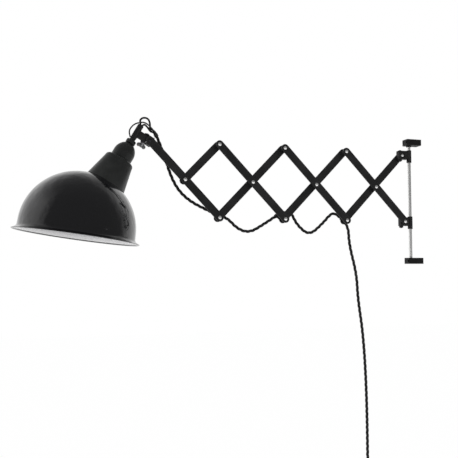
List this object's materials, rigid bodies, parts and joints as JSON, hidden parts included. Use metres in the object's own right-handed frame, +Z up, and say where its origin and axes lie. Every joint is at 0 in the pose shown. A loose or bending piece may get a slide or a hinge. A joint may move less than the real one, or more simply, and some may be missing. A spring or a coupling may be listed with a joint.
{
  "type": "accordion wall lamp",
  "caption": "Wall-mounted scissor-arm lamp: flat-bar accordion arm on a slide rod carries a tilting, swivelling enamel dome shade, with a hanging textile cord and plug.",
  "frame": {"origin": "centre of the four wall holes, on the wall plane, halfway up the slide rod", "axes": "+X into the wall, so the lamp reaches out along -X; +Z up; Y = 0 is halfway between the two layers of arm bars"},
  "size_m": [0.9101, 0.25, 0.9028],
  "materials": {
    "shade_enamel": "gloss enamel outside, white inside",
    "black_paint": "satin",
    "neck_paint": "satin",
    "bright_steel": "polished",
    "zinc": "dull plated",
    "dark_rivet": "darkened",
    "bakelite": "gloss",
    "ring_plastic": "matt",
    "lamp_brass": "plain",
    "lamp_glass": "opal",
    "textile": "twisted braid",
    "wire_black": "matt",
    "clip_black": "matt",
    "plug_rubber": "matt",
    "plug_metal": "nickelled"
  },
  "bodies": {
    "wall_mount": {"wall_bracket_top": "black_paint", "wall_bracket_bottom": "black_paint"},
    "rod": {"slide_rod": "bright_steel", "rod_collar": "black_paint", "upper_sleeve": "black_paint", "upper_fork": "black_paint", "upper_bolt": "bright_steel", "sleeve_screw": "dark_rivet", "upper_pin": "bright_steel"},
    "bar_b4": {"back_bar_4": "black_paint"},
    "bar_a4": {"front_bar_4": "black_paint", "rivets_4": "bright_steel", "spacers_4": "black_paint", "lower_pin": "bright_steel"},
    "slider": {"lower_sleeve": "black_paint", "lower_fork": "black_paint", "lower_bolt": "bright_steel"},
    "bar_a3": {"front_bar_3": "black_paint", "rivets_3": "bright_steel", "spacers_3": "black_paint", "cord_run_3": "textile"},
    "cord_hanger": {"cord_clip_3": "clip_black", "cord_drop": "textile", "cord_tie": "clip_black", "plug_body": "plug_rubber", "plug_pins": "plug_metal"},
    "bar_b3": {"back_bar_3": "black_paint"},
    "bar_a2": {"front_bar_2": "black_paint", "rivets_2": "bright_steel", "spacers_2": "black_paint", "cord_clip_2": "clip_black", "cord_run_2": "textile"},
    "bar_b2": {"back_bar_2": "black_paint"},
    "bar_a1": {"front_bar_1": "black_paint", "rivets_1": "bright_steel", "spacers_1": "black_paint", "head_pin": "dark_rivet", "cord_clip_1": "clip_black", "cord_run_1": "textile", "cord_head": "textile"},
    "bar_b1": {"back_bar_1": "black_paint"},
    "head_hinge": {"head_fork": "black_paint", "wing_bolt": "zinc", "cord_tie_head": "clip_black"},
    "wing_nut": {"wing_nut": "zinc"},
    "head": {"head_sleeve": "black_paint", "head_screw": "dark_rivet", "stem_tube": "black_paint", "stem_nut": "neck_paint", "socket_cap": "neck_paint", "shade_neck": "neck_paint", "neck_ring": "ring_plastic", "lampholder": "bakelite", "bulb_base": "lamp_brass", "bulb_glass": "lamp_glass", "shade": "shade_enamel", "cord_curl": "textile", "cord_lead": "textile", "earth_wire": "wire_black"}
  },
  "joints": [
    {"name": "rod_swivel", "type": "hinge", "parent": "wall_mount", "child": "rod", "pos_m": [-0.0266, 0, 0], "axis": [0, 0, 1], "range_deg": [-80, 80]},
    {"name": "arm_fold", "type": "hinge", "parent": "rod", "child": "bar_b4", "pos_m": [-0.045, 0, 0.1084], "axis": [0, -1, 0], "range_deg": [-26.25, 31.75]},
    {"name": "cross_4", "type": "hinge", "parent": "bar_b4", "child": "bar_a4", "pos_m": [-0.11968, 0, 0.03038], "axis": [0, 1, 0], "range_deg": [-52.5, 63.5]},
    {"name": "slider_pivot", "type": "hinge", "parent": "bar_a4", "child": "slider", "pos_m": [-0.045, 0, -0.04763], "axis": [0, -1, 0], "range_deg": [-26.25, 31.75]},
    {"name": "low_3", "type": "hinge", "parent": "bar_b4", "child": "bar_a3", "pos_m": [-0.19437, 0, -0.04763], "axis": [0, 1, 0], "range_deg": [-52.5, 63.5]},
    {"name": "hanger_3", "type": "hinge", "parent": "bar_a3", "child": "cord_hanger", "pos_m": [-0.19437, 0, -0.04763], "axis": [0, -1, 0], "range_deg": [-26.25, 31.75]},
    {"name": "cross_3", "type": "hinge", "parent": "bar_a3", "child": "bar_b3", "pos_m": [-0.26905, 0, 0.03038], "axis": [0, -1, 0], "range_deg": [-52.5, 63.5], "deforming": ["cord_run_3"]},
    {"name": "low_2", "type": "hinge", "parent": "bar_b3", "child": "bar_a2", "pos_m": [-0.34373, 0, -0.04763], "axis": [0, 1, 0], "range_deg": [-52.5, 63.5]},
    {"name": "cross_2", "type": "hinge", "parent": "bar_a2", "child": "bar_b2", "pos_m": [-0.41842, 0, 0.03038], "axis": [0, -1, 0], "range_deg": [-52.5, 63.5], "deforming": ["cord_run_2"]},
    {"name": "low_1", "type": "hinge", "parent": "bar_b2", "child": "bar_a1", "pos_m": [-0.4931, 0, -0.04763], "axis": [0, 1, 0], "range_deg": [-52.5, 63.5]},
    {"name": "cross_1", "type": "hinge", "parent": "bar_a1", "child": "bar_b1", "pos_m": [-0.56778, 0, 0.03038], "axis": [0, -1, 0], "range_deg": [-52.5, 63.5]},
    {"name": "head_tilt", "type": "hinge", "parent": "bar_a1", "child": "head_hinge", "pos_m": [-0.64247, 0, 0.1084], "axis": [0, 1, 0], "range_deg": [-35, 40], "deforming": ["cord_head"]},
    {"name": "head_swing", "type": "hinge", "parent": "head_hinge", "child": "head", "pos_m": [-0.65035, 0, 0.11295], "axis": [0.5, 0, 0.866], "range_deg": [-50, 50], "deforming": ["cord_curl", "cord_lead", "earth_wire"]},
    {"name": "wing_nut_turn", "type": "hinge", "parent": "head_hinge", "child": "wing_nut", "pos_m": [-0.65035, 0, 0.11295], "axis": [0.5, 0, 0.866], "continuous": true}
  ],
  "couplings": [
    {"joint": "cross_4", "follows": "arm_fold", "ratio": 2},
    {"joint": "slider_pivot", "follows": "arm_fold", "ratio": 1},
    {"joint": "low_3", "follows": "arm_fold", "ratio": 2},
    {"joint": "hanger_3", "follows": "arm_fold", "ratio": 1},
    {"joint": "cross_3", "follows": "arm_fold", "ratio": 2},
    {"joint": "low_2", "follows": "arm_fold", "ratio": 2},
    {"joint": "cross_2", "follows": "arm_fold", "ratio": 2},
    {"joint": "low_1", "follows": "arm_fold", "ratio": 2},
    {"joint": "cross_1", "follows": "arm_fold", "ratio": 2}
  ]
}
